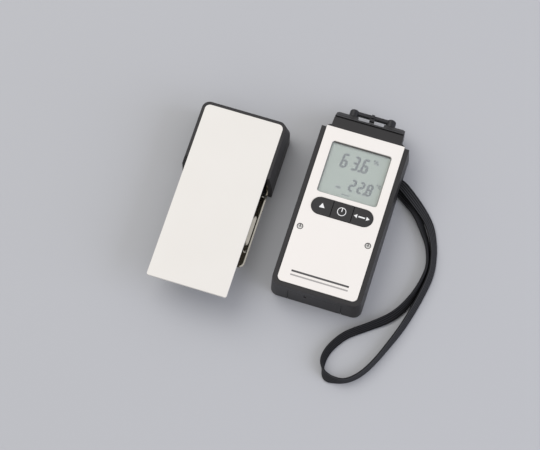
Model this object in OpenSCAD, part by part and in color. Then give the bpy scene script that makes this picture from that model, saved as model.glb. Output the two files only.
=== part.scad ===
// Pocket thermo-hygrometer with a wrist strap, its slip-on cover laid beside it.
// The meter's face looks up (+Z), its sensor head points along +Y, and the floor is at z = 0.

/* [Face plate] */
// Width of the off-white face plate
plate_w = 41; // [38:0.2:48]
// Length of the face plate
plate_l = 86.7; // [85.5:0.3:100]
// Thickness of the face plate
plate_t = 0.8; // [0.6:0.1:1.2]
// Radius of the two lower corners of the face plate
plate_corner_r = 2.6; // [1.5:0.1:4]
// Gap all round between the face plate and the rim
plate_gap = 0.3; // [0.2:0.05:0.6]
// Depth of the face plate below the top of the rim
plate_sink = 0.1; // [0:0.05:0.4]

/* [Meter case] */
// Height of the case
case_h = 18; // [17.5:0.1:21]
// How much wider than its top the case is on each side at the floor
side_flare = 0.65; // [0:0.05:1]
// Thickness of the side walls, which show as the rim
rim_w = 2.2; // [1.6:0.1:3]
// Thickness of the lower end wall
foot_w = 2.25; // [1.8:0.05:3]
// Radius of the two lower corners of the case
case_corner_r = 4.4; // [3:0.1:6]
// Thickness of the case floor
floor_t = 2.4; // [2.2:0.1:3]
// Thickness of the deck under the face plate
deck_t = 1; // [0.8:0.1:1.4]
// Width of the ledge that the deck lies on
ledge_w = 1.2; // [0.8:0.1:1.6]
// Bevel along the bottom edges of the case
bottom_bevel = 0.7; // [0.3:0.1:1.2]
// Distance that the case's upper end leans back over its height
end_lean = 1.1; // [0:0.1:2]
// Thickness of the inner walls and of the neck's walls
inner_wall = 1.4; // [1:0.1:1.8]

/* [Neck and sensor guard] */
// Width of the neck just above the case
neck_w = 36.8; // [32:0.2:40]
// Width of the neck at its end
neck_end_w = 36; // [32:0.2:38]
// Length of the neck
neck_l = 11; // [10.2:0.1:14]
// Length of the flat band between the face plate and the groove
neck_flat = 5.4; // [4:0.1:6]
// Width of the groove across the neck
groove_w = 1; // [0.6:0.1:1.6]
// Depth of the groove
groove_d = 1.4; // [0.5:0.1:1.6]
// Height of the flat band above the start of the neck's slope
slope_drop = 0.4; // [0:0.05:0.45]
// Depth of the notch in the neck's end, between the prongs
notch_l = 3; // [1:0.1:3.6]
// Height of the neck's end face
neck_end_h = 6.2; // [5.4:0.1:7]
// Height of the neck's underside above the floor
neck_z = 1.4; // [1.2:0.1:2.4]
// Radius of a guard prong
prong_r = 2.4; // [1.6:0.1:2.5]
// Distance between the two prongs
prong_pitch = 19.6; // [15:0.2:22]
// How far the prongs reach past the neck
prong_reach = 4.4; // [3.8:0.1:9]
// Thickness of the guard's cross bar, along the meter
bar_t = 1.6; // [1.2:0.1:2.4]
// Height of the cross bar
bar_h = 2.8; // [2:0.1:3.6]

/* [Display] */
// Width of the display window
window_w = 31.3; // [26:0.2:32]
// Length of the display window
window_l = 28.7; // [24:0.2:29.2]
// Distance from the upper end of the face plate down to the window
window_y = 7.3; // [6.6:0.1:9]
// How far the window and the keys sit to the right of the middle
panel_shift = 0.3; // [0:0.1:0.8]
// Thickness of the window
window_t = 0.6; // [0.4:0.1:0.7]
// Thickness of the display glass
lcd_t = 1.2; // [1:0.1:1.6]

/* [Keys] */
// Length of the row of three keys
key_row_l = 31.8; // [28:0.2:33]
// Height of the row of keys
key_row_h = 9.1; // [7:0.1:10]
// Distance between the window and the row of keys
key_drop = 2.6; // [2.6:0.1:6]
// Gap between neighbouring keys
key_gap = 0.35; // [0.2:0.05:0.6]
// Gap between the keys and the edge of their opening
key_clear = 0.2; // [0.15:0.05:0.4]
// How far the keys stand above the face plate
key_rise = 0.3; // [0:0.1:0.6]
// Travel of a key
key_travel = 0.5; // [0.3:0.05:0.55]

/* [Boards] */
// Thickness of the main circuit board
board_t = 0.8; // [0.6:0.1:1.2]
// Thickness of the sensor board
sensor_board_t = 1; // [0.8:0.1:1.2]
// Width of the stem that carries the humidity sensor
stem_w = 2.6; // [1.2:0.1:2.8]

/* [Battery bay] */
// Radius of an AAA cell
cell_r = 5.25; // [5:0.05:5.25]
// Length of an AAA cell with its contact
cell_l = 44.5; // [43:0.5:45]
// Distance between the two cells
cell_pitch = 13.2; // [11.4:0.2:13.6]
// Width of the battery door
door_w = 27.3; // [26.8:0.1:28.6]
// Thickness of the battery door
door_t = 1.2; // [1.1:0.1:1.5]
// Height of the door's end wall
door_end_h = 13; // [10:0.5:14]
// Travel that frees the door's tongues
door_travel = 9; // [7:0.5:10]

/* [Screws] */
// Radius of the shank of the case and face screws
shank_r = 0.85; // [0.7:0.05:1]
// Radius of the heads of the face screws
face_head_r = 1.35; // [1.2:0.05:1.6]
// Gap all round the heads of the face screws
face_head_gap = 0.3; // [0.15:0.05:0.4]
// Radius of the heads of the case screws
case_head_r = 1.8; // [1.6:0.1:2]

/* [Strap slot] */
// Radius of the strap bar
bar_r = 0.8; // [0.6:0.05:1]
// Length of the strap slot along the side of the case
slot_l = 10.6; // [9:0.2:13]
// Distance from the upper end of the face plate down to the middle of the slot
slot_y = 16.75; // [14:0.25:20]
// Depth of the strap slot
slot_d = 4.6; // [4.4:0.1:5.4]
// Height of the strap slot
slot_h = 5.2; // [5:0.1:6]

/* [Strap] */
// Width of the webbing
strap_w = 5; // [3.6:0.1:5]
// Thickness of the webbing
strap_t = 1.2; // [0.8:0.1:1.2]

/* [Cover] */
// Width of the shield plate
shield_w = 41.2; // [39:0.2:48]
// Length of the shield plate
shield_l = 95.8; // [90:0.2:110]
// Thickness of the shield plate
shield_t = 1.2; // [1:0.1:1.6]
// Radius of the shield plate's corners in the shell
shield_corner_r = 2.6; // [1.5:0.1:4]
// Width of the shell's rim round the shield plate
cover_rim = 1.6; // [1.4:0.05:3]
// Length of the cover shell
shell_l = 33.2; // [30:0.2:44]
// How much wider than the rim the shell is on each side lower down
shell_flare = 1.6; // [0.9:0.05:2]
// Thickness of the shell's bottom
shell_floor_t = 1.2; // [1:0.1:1.5]
// Distance that the shell's open end leans back over its height
shell_lean = 1.6; // [0:0.1:2.5]
// Radius of the shell's two upper corners
shell_corner_r = 4; // [3:0.1:5]
// Width of the clip plate
clip_w = 43.2; // [36:0.2:43.8]
// Thickness of the clip plate
clip_t = 0.8; // [0.6:0.1:1]
// How far the clip plate stops short of the shield plate's free end
clip_short = 23.2; // [16:0.3:36]
// Height of the clip plate's side flanges inside the shell
flange_h = 12; // [8:0.5:16]
// Length of the clip plate's side flanges
flange_l = 7; // [4:0.5:10]

/* [Layout] */
// Gap between the cover and the meter
cover_gap = 14.1; // [10:0.1:30]
// How far the shield plate's free end lies below the meter's lower end
cover_drop = 14.8; // [0:0.1:30]

/* [Hidden] */
$fn = 64;
eps = 0.01;
seat_gap = 0.1;
door_gap = 0.25;
fit_gap = 0.15;

// The meter, measured from the middle of its lower end, on the floor
meter_w = plate_w + 2 * (plate_gap + rim_w);
meter_foot_w = meter_w + 2 * side_flare;
plate_y0 = foot_w + plate_gap;
case_l = plate_y0 + plate_l;
plate_top_z = case_h - plate_sink;
deck_top_z = plate_top_z - plate_t;
deck_z = deck_top_z - deck_t;
ledge_in_x = meter_w / 2 - rim_w - ledge_w;
neck_end_y = case_l + neck_l;
neck_mid_z = case_h / 2;
prong_tip_y = neck_end_y + prong_reach;
meter_l = prong_tip_y;

// The cover, measured from the middle of the shield plate's free end, on the floor
shell_top_w = shield_w + 2 * cover_rim;
shell_w = shell_top_w + 2 * shell_flare;
shell_top_y = shield_l + cover_rim;
shell_end_y = shell_top_y - shell_l;
shield_z = case_h + clip_t + 0.3;
cover_h = shield_z + shield_t;

// Both lie in one frame: the middle of the whole is at the origin
total_w = shell_w + cover_gap + meter_foot_w;
cover_length = shell_top_y + shell_flare;
total_l = max(meter_l + cover_drop, cover_length);
meter_x = total_w / 2 - meter_foot_w / 2;
cover_x = shell_w / 2 - total_w / 2;
cover_y = -total_l / 2;
meter_y = cover_y + cover_drop;

// Battery bay
tongue_w = 1;
rib_t = 1.2;
lip_t = 0.5;
cell_gap = 0.2;
bay_side_gap = 0.35;
bay_x = cell_pitch / 2 + cell_r + bay_side_gap;
bay_y0 = foot_w + 1.35;
spring_l = 4.4;
spring_r = 2.6;
spring_wire = 0.5;
contact_t = 0.3;
bay_l = cell_l + spring_l + 2 * contact_t;
bay_y1 = bay_y0 + bay_l;
cell_z = door_t + cell_gap + cell_r;
bay_top_z = cell_z + cell_r + cell_gap;
door_l = bay_y1 + inner_wall + 1;
tongue_l = 8;
tongue_y = [3, door_l - tongue_l - 1.5];

// Boards and display
board_z = bay_top_z;
board_top_z = board_z + board_t;
board_w = 2 * ledge_in_x - 3.2;
board_y0 = 4.5;
lcd_w = window_w + 2.2;
lcd_l = window_l + 1.8;
lcd_y = case_l - window_y - window_l / 2;
board_y1 = lcd_y + lcd_l / 2 + 0.6;
lens_margin = 2;
window_corner_r = 1.5;
glass_gap = 0.2;
window_z = deck_top_z - window_t;
lcd_z = window_z - 0.1 - lcd_t;
sensor_board_z = neck_mid_z - sensor_board_t / 2;
header_y = board_y1 - 1.6;

// Parts under the main board
chip_w = 7;
chip_t = 1.2;
chip_leg = 1;
can_x = 9;
can_y = 6;
crystal_r = 1.5;
crystal_h = 3.4;
capacitor_r = 2;
capacitor_h = 4.4;
small_pitch = 2.8;
small_l = 1.6;
small_w = 0.8;
small_h = 0.5;
row_y = 7.5;

// Keys
key_row_y = lcd_y - window_l / 2 - key_drop - key_row_h / 2;
key_split = 5.3;
key_flange_t = 0.6;
key_flange_w = 0.6;
key_flange_z = deck_z - seat_gap - key_flange_t;
key_x = [-key_split - (key_row_l / 2 - key_split) / 2, 0, key_split + (key_row_l / 2 - key_split) / 2];
dome_r = 2;
dome_h = 0.3;
key_sheet_t = key_flange_z - key_travel - fit_gap - board_top_z;

// Screws: face screws, case screws and board screws, as places on the meter
face_screw_drop = 13.4;
face_screw_x = plate_w / 2 - 2.9;
face_screw_y = key_row_y - face_screw_drop;
face_places = [for (side = [-1, 1]) [side * face_screw_x, face_screw_y]];
case_screw_x = max(ledge_in_x - 2.6, door_w / 2 + case_head_r + 0.4);
case_places = [for (side = [-1, 1], y = [8, case_l - 2.9]) [side * case_screw_x, y]];
board_screw_x = ledge_in_x - 3.2;
board_screw_y = key_row_y - key_row_h / 2 - 3.2;
board_places = [for (side = [-1, 1]) [side * board_screw_x, board_screw_y]];
boss_r = 2.1;
thread_gap = 0.03;
board_boss_r = 1.8;
board_shank_r = 0.75;
board_head_r = 1.4;
board_head_h = 0.9;
board_screw_l = 7;
face_head_z = deck_top_z - 0.6;
screw_tip_z = floor_t + 3;
pillar_top_z = 7;
head_recess = 1.4;

// Strap slot and bar
slot_z = 1.3;
slot_mid_y = case_l - slot_y;
bar_x = meter_w / 2 - slot_d + bar_r + strap_t + 0.2;
bar_z = slot_z + slot_h / 2;
bar_end = 1.1;
pocket_wall = 1.8;
end_wall = 2.4;

// Sensor guard
guard_base_t = 1.1;
guard_base_h = 4;
notch_w = prong_pitch - 2 * (prong_r + seat_gap) - 0.8;
notch_y = neck_end_y - notch_l;
guard_y = notch_y - inner_wall - guard_base_t;
ear_bevel = 1;
bar_mid_y = prong_tip_y - 0.7 - bar_t / 2;
stem_end_y = bar_mid_y - bar_t / 2 - 0.1;

// Cover
ledge_t = 1.2;
ledge_reach = 1.4;
ledge_start = 2;
shell_wall_top = shell_top_w / 2 - 1.25;
rivet_r = 1.5;
rivet_pitch = 24;
rivet_inset = 12;
rivet_y = shell_top_y - rivet_inset;
clip_y1 = shell_top_y - 7.5;
clip_corner_r = 3;
flange_y = shell_end_y + 0.3;
bump_r = 0.75;
bump_h = 0.35;
bump_y = [clip_short + 9, shell_end_y - bump_r - 0.1];
edge_band = 0.7;
edge_drop = 0.15;
field_h = 0.28;
field_slope = 2;
field_edge = 1.4;
field_inset = 11.5;
field_y = [clip_short + field_inset, shell_end_y - field_inset];

// A flat plate with square corners above and rounded corners below, along +Y from y0
module tab_outline(w, l, r) {
    translate([-w / 2, r]) square([w, l - r]);
    translate([-w / 2 + r, 0]) square([w - 2 * r, l]);
    for (side = [-1, 1]) translate([side * (w / 2 - r), r]) circle(r = r);
}

// A plate with four rounded corners, its middle at the origin
module round_outline(w, l, r) {
    square([w, l - 2 * r], center = true);
    square([w - 2 * r, l], center = true);
    for (x = [-1, 1], y = [-1, 1]) translate([x * (w / 2 - r), y * (l / 2 - r)]) circle(r = r);
}

// The rounded bar shape of the row of keys
module stadium(l, h) {
    square([l - h, h], center = true);
    for (side = [-1, 1]) translate([side * (l - h) / 2, 0]) circle(d = h);
}

// A profile drawn across and up, drawn out along +Y
module along_y(y0, y1) {
    translate([0, y1, 0]) rotate([90, 0, 0]) linear_extrude(y1 - y0) children();
}

// A profile drawn along +Y and up, drawn out across, centred
module across_x(w) {
    rotate([90, 0, 90]) translate([0, 0, -w / 2]) linear_extrude(w) children();
}

module block(x0, x1, y0, y1, z0, z1) {
    translate([x0, y0, z0]) cube([x1 - x0, y1 - y0, z1 - z0]);
}

// A cylinder standing on z0
module post(r, z0, z1) {
    translate([0, 0, z0]) cylinder(r = r, h = z1 - z0);
}

module at_places(places) {
    for (p = places) translate([p[0], p[1], 0]) children();
}

module in_meter() {
    translate([meter_x, meter_y, 0]) children();
}

module in_cover() {
    translate([cover_x, cover_y, 0]) children();
}

// Cross-shaped drive recess, cut from above at z
module cross_recess(r, z, depth) {
    for (turn = [0, 90]) rotate([0, 0, turn]) translate([-r, -0.2, z - depth]) cube([2 * r, 0.4, depth + 1]);
}

// The neck's outline from above, from the case to the neck's end, with the notch between the prongs
module neck_outline(inset) {
    half = neck_w / 2 - inset;
    end_half = neck_end_w / 2 - inset;
    end_y = neck_end_y - inset;
    difference() {
        polygon([
            [-half, case_l - end_wall - 1], [half, case_l - end_wall - 1], [half, case_l],
            [end_half, end_y - ear_bevel], [end_half - ear_bevel, end_y],
            [ear_bevel - end_half, end_y], [-end_half, end_y - ear_bevel], [-half, case_l]
        ]);
        translate([-notch_w / 2 - inset, notch_y - inset])
            square([notch_w + 2 * inset, notch_l + 2 * inset + 1]);
    }
}

// The neck seen from the side: a flat band, the groove, then slopes down and up to the end face
module neck_side(inset) {
    end_z0 = neck_mid_z - neck_end_h / 2;
    end_z1 = neck_mid_z + neck_end_h / 2;
    flat_y = case_l + neck_flat;
    groove_z = plate_top_z - groove_d - inset;
    polygon([
        [case_l - 4, neck_z + inset], [flat_y - inset / 2, neck_z + inset],
        [neck_end_y - inset, end_z0 + inset / 2], [neck_end_y - inset, end_z1 - inset / 2],
        [flat_y + groove_w + inset, plate_top_z - slope_drop - inset],
        [flat_y + groove_w + inset, groove_z], [flat_y - inset, groove_z],
        [flat_y - inset, plate_top_z - inset], [case_l - 4, plate_top_z - inset]
    ]);
}

module neck_solid(inset) {
    intersection() {
        translate([0, 0, -1]) linear_extrude(case_h + 2) neck_outline(inset);
        across_x(meter_w) neck_side(inset);
    }
}

// Round holes for the prongs and the slit for the stem, in the neck's end wall
module guard_holes() {
    for (side = [-1, 1]) {
        translate([side * prong_pitch / 2, guard_y, neck_mid_z]) rotate([-90, 0, 0])
            cylinder(r = prong_r + seat_gap, h = neck_end_y - guard_y + 1);
    }
    block(-stem_w / 2 - fit_gap, stem_w / 2 + fit_gap, guard_y, notch_y + 1,
        neck_mid_z - sensor_board_t / 2 - seat_gap, neck_mid_z + sensor_board_t / 2 + seat_gap);
}

// Takes the case's upper end back, less at the floor than at the rim
module lean_cut() {
    across_x(meter_foot_w + 2) polygon([
        [case_l, 0], [case_l + 5, -1], [case_l + 5, case_h + 1], [case_l - end_lean, case_h + 1],
        [case_l - end_lean, case_h]
    ]);
}

module door_opening() {
    half = door_w / 2 + door_gap;
    block(-half, half, -1, door_l + door_gap, -1, door_t + 0.05);
    block(-half, half, -1, foot_w - 0.05, -1, door_end_h + door_gap);
}

module case_level(w, inset, z) {
    translate([0, inset, z]) linear_extrude(eps)
        tab_outline(w - 2 * inset, case_l - inset, case_corner_r - inset / 2);
}

// The tray: walls, floor and the ledge for the deck
module case_tray() {
    difference() {
        // From the bevelled floor up to the narrower rim
        hull($fn = 32) {
            case_level(meter_foot_w, bottom_bevel, 0);
            case_level(meter_foot_w, 0, bottom_bevel);
            case_level(meter_w, 0, case_h - eps);
        }
        // Seat of the deck and the plate
        translate([0, foot_w, deck_z]) linear_extrude(case_h)
            tab_outline(meter_w - 2 * rim_w, case_l, plate_corner_r + plate_gap);
        // Inside, below the deck
        block(-ledge_in_x, ledge_in_x, bay_y0, case_l + 1, floor_t, case_h);
        lean_cut();
        door_opening();
        // The cells reach down through the case floor to the door
        block(-bay_x, bay_x, bay_y0, bay_y1, -1, floor_t + 1);
    }
}

// Lips that hold the door's tongues up
module door_lips() {
    for (y = tongue_y, side = [-1, 1]) {
        outer = side * (door_w / 2 + door_gap + 0.5);
        inner = side * (door_w / 2 - tongue_w + door_gap);
        block(min(outer, inner), max(outer, inner), y, y + tongue_l, 0, lip_t);
    }
}

module rear_case() {
    color("#3c3a3a") in_meter() difference() {
        union() {
            case_tray();
            door_lips();
            battery_bay_walls();
            strap_pocket();
            upper_end_wall();
            neck_half(0, neck_mid_z);
            at_places(case_places) post(boss_r, floor_t - eps, pillar_top_z);
            at_places(face_places) post(boss_r, floor_t - eps, deck_z);
            at_places(board_places) post(board_boss_r, floor_t - eps, board_z);
        }
        strap_slot();
        neck_room();
        at_places(case_places) {
            post(case_head_r + fit_gap, -1, head_recess);
            post(shank_r + seat_gap, -1, neck_mid_z);
            // Room for the posts of the front case
            post(boss_r + seat_gap, pillar_top_z, deck_z + 1);
        }
        at_places(face_places) post(shank_r + thread_gap, floor_t + 1, deck_z + 1);
        at_places(board_places) post(board_shank_r + thread_gap, floor_t + 1, board_z + 1);
    }
}

// Walls round the two cells, which also carry the main board
module battery_bay_walls() {
    outer_x = bay_x + inner_wall;
    difference() {
        block(-outer_x, outer_x, bay_y0 - 1.35 + eps, bay_y1 + inner_wall, door_t + 0.05, bay_top_z);
        block(-bay_x, bay_x, bay_y0, bay_y1, 0, bay_top_z + 1);
    }
    // Rib between the cells
    block(-rib_t / 2, rib_t / 2, bay_y0 - eps, bay_y1 - 6, cell_z + 2, bay_top_z);
}

// Closes the strap slot off from the inside of the case and holds the strap bar
module strap_pocket() {
    half = slot_l / 2 + pocket_wall;
    block(meter_w / 2 - slot_d - pocket_wall, ledge_in_x + eps, slot_mid_y - half, slot_mid_y + half,
        floor_t - eps, slot_z + slot_h + pocket_wall);
}

// The slot in the case's side, with blind holes at both ends for the strap bar
module strap_slot() {
    block(meter_w / 2 - slot_d, meter_foot_w / 2 + 1, slot_mid_y - slot_l / 2, slot_mid_y + slot_l / 2,
        slot_z, slot_z + slot_h);
    translate([bar_x, slot_mid_y - slot_l / 2 - bar_end, bar_z]) rotate([-90, 0, 0])
        cylinder(r = bar_r + 0.03, h = slot_l + 2 * bar_end);
}

// The neck's hollow half between two heights, from inside the case's end wall outwards
module neck_half(z0, z1) {
    difference() {
        neck_solid(0);
        neck_solid(inner_wall);
        block(-meter_w, meter_w, 0, neck_end_y + 1, -1, z0);
        block(-meter_w, meter_w, 0, neck_end_y + 1, z1, case_h + 1);
        block(-meter_w, meter_w, 0, case_l - end_wall, 0, case_h + 1);
        guard_holes();
    }
}

// Upper end wall of the case, with the way into the neck
module upper_end_wall() {
    difference() {
        block(-ledge_in_x - eps, ledge_in_x + eps, case_l - end_wall, case_l, floor_t - eps, deck_z);
        lean_cut();
        neck_solid(inner_wall);
    }
}

// Room for the neck's upper half, which belongs to the front case
module neck_room() {
    intersection() {
        neck_solid(-0.05);
        block(-meter_w, meter_w, 0, neck_end_y + 1, neck_mid_z, case_h);
    }
}

// The deck, with its openings for the display, the keys and the face screws
module deck() {
    lens_room = lens_margin + seat_gap;
    difference() {
        translate([0, foot_w + seat_gap, deck_z]) linear_extrude(deck_t)
            tab_outline(plate_w + 2 * (plate_gap - seat_gap), case_l - foot_w - seat_gap,
                plate_corner_r + plate_gap - seat_gap);
        // Seat of the window and the hole for the display glass
        translate([panel_shift, lcd_y, window_z]) linear_extrude(window_t + 1)
            round_outline(window_w + 2 * lens_room, window_l + 2 * lens_room, 1.6);
        translate([panel_shift, lcd_y, deck_z - 1]) linear_extrude(deck_t + 2)
            round_outline(lcd_w + 2 * glass_gap, lcd_l + 2 * glass_gap, 0.8);
        key_row_opening(deck_z - 1, deck_t + 2);
        at_places(face_places) {
            post(shank_r + seat_gap, deck_z - 1, deck_top_z + 1);
            post(face_head_r + face_head_gap, face_head_z, deck_top_z + 1);
        }
    }
}

// Shoulders between the width of the plate and the width of the neck
module neck_shoulders() {
    translate([0, 0, deck_z]) linear_extrude(plate_top_z - deck_z) polygon([
        [-plate_w / 2, case_l - eps], [plate_w / 2, case_l - eps],
        [neck_w / 2 - 0.2, case_l + 1.2], [-neck_w / 2 + 0.2, case_l + 1.2]
    ]);
}

module front_case() {
    color("#403e3e") in_meter() difference() {
        union() {
            deck();
            difference() {
                neck_shoulders();
                neck_solid(inner_wall);
            }
            difference() {
                neck_half(neck_mid_z, case_h);
                // The face plate lies here
                block(-meter_w, meter_w, 0, case_l - eps, deck_top_z - eps, case_h + 1);
            }
            at_places(case_places) post(boss_r, pillar_top_z + 0.05, deck_z + eps);
        }
        at_places(case_places) post(shank_r + thread_gap, 0, deck_z - 1);
    }
}

// Opening for the whole row of keys
module key_row_opening(z, h) {
    translate([panel_shift, key_row_y, z]) linear_extrude(h)
        stadium(key_row_l + 2 * key_clear, key_row_h + 2 * key_clear);
}

module face_plate() {
    color("#ece8e1") in_meter() difference() {
        translate([0, plate_y0, deck_top_z]) linear_extrude(plate_t)
            tab_outline(plate_w, plate_l, plate_corner_r);
        translate([panel_shift, lcd_y, deck_top_z - 1]) linear_extrude(plate_t + 2)
            round_outline(window_w, window_l, window_corner_r);
        key_row_opening(deck_top_z - 1, plate_t + 2);
        at_places(face_places) post(face_head_r + face_head_gap, deck_top_z - 1, case_h + 1);
        // Joint between the plate's upper end and the neck's shoulders
        block(-meter_w, meter_w, case_l - fit_gap, case_l + 1, 0, case_h + 1);
    }
}

module display_window() {
    color("#dfe6e4", 0.5) in_meter() translate([panel_shift, lcd_y, window_z])
        linear_extrude(window_t) round_outline(window_w + 2 * lens_margin, window_l + 2 * lens_margin, 1.5);
}

module display_glass() {
    color("#b0bab2") in_meter() translate([panel_shift, lcd_y, lcd_z])
        linear_extrude(lcd_t) round_outline(lcd_w, lcd_l, 0.6);
}

module display_connectors() {
    strip_w = 1.5;
    color("#d9a6a0") in_meter() for (side = [-1, 1]) {
        y = lcd_y + side * (lcd_l / 2 - strip_w / 2 - 0.4);
        block(panel_shift - lcd_w / 2 + 2, panel_shift + lcd_w / 2 - 2, y - strip_w / 2, y + strip_w / 2,
            board_top_z, lcd_z);
    }
}

// One key: its column of the row, a flange under the deck and a plunger over its dome
module key(column) {
    limits = [
        [-key_row_l, -key_split - key_gap / 2], [-key_split + key_gap / 2, key_split - key_gap / 2],
        [key_split + key_gap / 2, key_row_l]
    ][column];
    color("#3a3838") in_meter() translate([panel_shift, key_row_y, 0]) {
        translate([0, 0, key_flange_z + key_flange_t - eps])
            linear_extrude(plate_top_z + key_rise - key_flange_z - key_flange_t + eps) intersection() {
                stadium(key_row_l, key_row_h);
                translate([limits[0], -key_row_h]) square([limits[1] - limits[0], 2 * key_row_h]);
            }
        translate([0, 0, key_flange_z]) linear_extrude(key_flange_t) intersection() {
            stadium(key_row_l + 2 * (key_clear + key_flange_w), key_row_h + 2 * (key_clear + key_flange_w));
            translate([limits[0], -key_row_h]) square([limits[1] - limits[0], 2 * key_row_h]);
        }
        translate([key_x[column], 0, 0]) post(1, key_flange_z - 0.1, key_flange_z + eps);
    }
}

module key_up() { key(0); }
module key_power() { key(1); }
module key_mode() { key(2); }

module key_sheet() {
    color("#8a8d90") in_meter() difference() {
        translate([panel_shift, key_row_y, board_top_z])
            linear_extrude(key_sheet_t) round_outline(key_row_l + 1, key_row_h + 1.2, 1);
        for (x = key_x) translate([panel_shift + x, key_row_y, 0])
            post(dome_r + fit_gap, board_top_z - 1, board_top_z + dome_h + 0.05);
    }
}

module snap_domes() {
    // A shallow dome is the cap of a sphere
    ball_r = (dome_r * dome_r + dome_h * dome_h) / (2 * dome_h);
    color("#c9c7bd") in_meter() for (x = key_x) translate([panel_shift + x, key_row_y, board_top_z])
        rotate_extrude() intersection() {
            translate([0, dome_h - ball_r]) circle(r = ball_r, $fn = 360);
            square([dome_r, dome_h]);
        }
}

module main_board() {
    color("#2f6b3f") in_meter() difference() {
        block(-board_w / 2, board_w / 2, board_y0, board_y1, board_z, board_top_z);
        at_places(concat(face_places, case_places)) post(boss_r + 0.3, board_z - 1, board_top_z + 1);
        at_places(board_places) post(board_shank_r + fit_gap, board_z - 1, board_top_z + 1);
    }
}

// Flat chip with legs on its two long sides
module measuring_chip() {
    color("#26272b") in_meter()
        block(-chip_w / 2, chip_w / 2, lcd_y - chip_w / 2, lcd_y + chip_w / 2, board_z - chip_t, board_z);
    color("#c8c8c4") in_meter() for (side = [-1, 1], k = [-3 : 3]) {
        inner = side * chip_w / 2;
        outer = side * (chip_w / 2 + chip_leg);
        y = lcd_y + k * chip_w / 7;
        block(min(inner, outer), max(inner, outer), y - chip_leg / 5, y + chip_leg / 5,
            board_z - chip_leg / 3, board_z);
    }
}

// Crystal can, capacitor, and rows of small parts, each a separate solid under the board
module board_components() {
    color("#b9b4a6") in_meter() {
        translate([can_x, lcd_y + can_y, board_z - crystal_h]) cylinder(r = crystal_r, h = crystal_h);
        translate([-can_x, lcd_y + can_y, board_z - capacitor_h]) cylinder(r = capacitor_r, h = capacitor_h);
        for (k = [-2 : 2]) block(k * small_pitch - small_l / 2, k * small_pitch + small_l / 2,
            lcd_y + row_y - small_w / 2, lcd_y + row_y + small_w / 2, board_z - small_h, board_z);
        for (k = [-1 : 1]) block(row_y - small_w / 2, row_y + small_w / 2,
            lcd_y + k * small_pitch - small_l / 2, lcd_y + k * small_pitch + small_l / 2,
            board_z - small_h, board_z);
    }
}

module board_screws() {
    color("#b8b8ba") in_meter() at_places(board_places) difference() {
        union() {
            post(board_head_r, board_top_z, board_top_z + board_head_h);
            post(board_shank_r, board_top_z - board_screw_l, board_top_z + eps);
        }
        cross_recess(board_head_r * 0.6, board_top_z + board_head_h, board_head_h / 2);
    }
}

module sensor_board() {
    board_half = 7;
    color("#26332b") in_meter() {
        block(-board_half, board_half, header_y - 2.5, guard_y - 0.6,
            sensor_board_z, sensor_board_z + sensor_board_t);
        block(-stem_w / 2, stem_w / 2, guard_y - 0.6 - eps, stem_end_y,
            sensor_board_z, sensor_board_z + sensor_board_t);
    }
}

module sensor_header() {
    color("#caa84a") in_meter() for (k = [-1.5 : 1.5]) {
        block(1.27 * k * 2 - 0.3, 1.27 * k * 2 + 0.3, header_y - 0.3, header_y + 0.3,
            sensor_board_z + sensor_board_t, board_z);
    }
}

module humidity_sensor() {
    chip_l = 1.5;
    color("#2b2c30") in_meter()
        block(-stem_w / 2, stem_w / 2, stem_end_y - chip_l, stem_end_y,
            sensor_board_z + sensor_board_t, sensor_board_z + sensor_board_t + 0.9);
}

module thermistor() {
    bead_r = 0.6;
    bead_z = sensor_board_z - 1;
    color("#3a2f2a") in_meter() translate([0, stem_end_y - 0.8, 0]) {
        translate([0, 0, bead_z]) sphere(r = bead_r, $fn = 32);
        for (side = [-1, 1]) translate([side * 0.25, 0, 0]) post(0.12, bead_z, sensor_board_z);
    }
}

// Two prongs with domed ends, a cross bar with a small fin, and a base plate inside the neck
module sensor_guard() {
    base_x = prong_pitch / 2 + prong_r;
    color("#38373a") in_meter() {
        for (side = [-1, 1]) translate([side * prong_pitch / 2, 0, neck_mid_z]) rotate([-90, 0, 0]) {
            translate([0, 0, guard_y]) cylinder(r = prong_r, h = prong_tip_y - 0.9 - guard_y);
            translate([0, 0, prong_tip_y - 0.9 - eps]) rotate_extrude() polygon([
                [0, 0], [prong_r, 0], [prong_r - 0.25, 0.5], [prong_r - 0.8, 0.9 + eps], [0, 0.9 + eps]
            ]);
        }
        block(-prong_pitch / 2, prong_pitch / 2, bar_mid_y - bar_t / 2, bar_mid_y + bar_t / 2,
            neck_mid_z - bar_h / 2, neck_mid_z + bar_h / 2);
        block(-0.75, 0.75, bar_mid_y - bar_t / 2, prong_tip_y - 0.4, neck_mid_z - bar_h / 2, neck_mid_z + 2);
        // Base plate, slit for the stem
        difference() {
            block(-base_x, base_x, guard_y, guard_y + guard_base_t - 0.05,
                neck_mid_z - guard_base_h / 2, neck_mid_z + guard_base_h / 2);
            block(-stem_w / 2 - fit_gap, stem_w / 2 + fit_gap, guard_y - 1, guard_y + 3,
                sensor_board_z - seat_gap, sensor_board_z + sensor_board_t + seat_gap);
        }
    }
}

module face_screws() {
    color("#b6b8bb") in_meter() at_places(face_places) difference() {
        union() {
            post(face_head_r, face_head_z, plate_top_z - 0.25);
            post(shank_r, screw_tip_z, face_head_z + eps);
        }
        cross_recess(0.85, plate_top_z - 0.25, 0.4);
    }
}

module case_screws() {
    color("#b6b8bb") in_meter() at_places(case_places) difference() {
        union() {
            post(case_head_r, 0.2, head_recess);
            post(shank_r, head_recess - eps, deck_z - 2);
        }
        for (turn = [0, 90]) rotate([0, 0, turn]) translate([-1.1, -0.2, -1]) cube([2.2, 0.4, 1.6]);
    }
}

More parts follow.
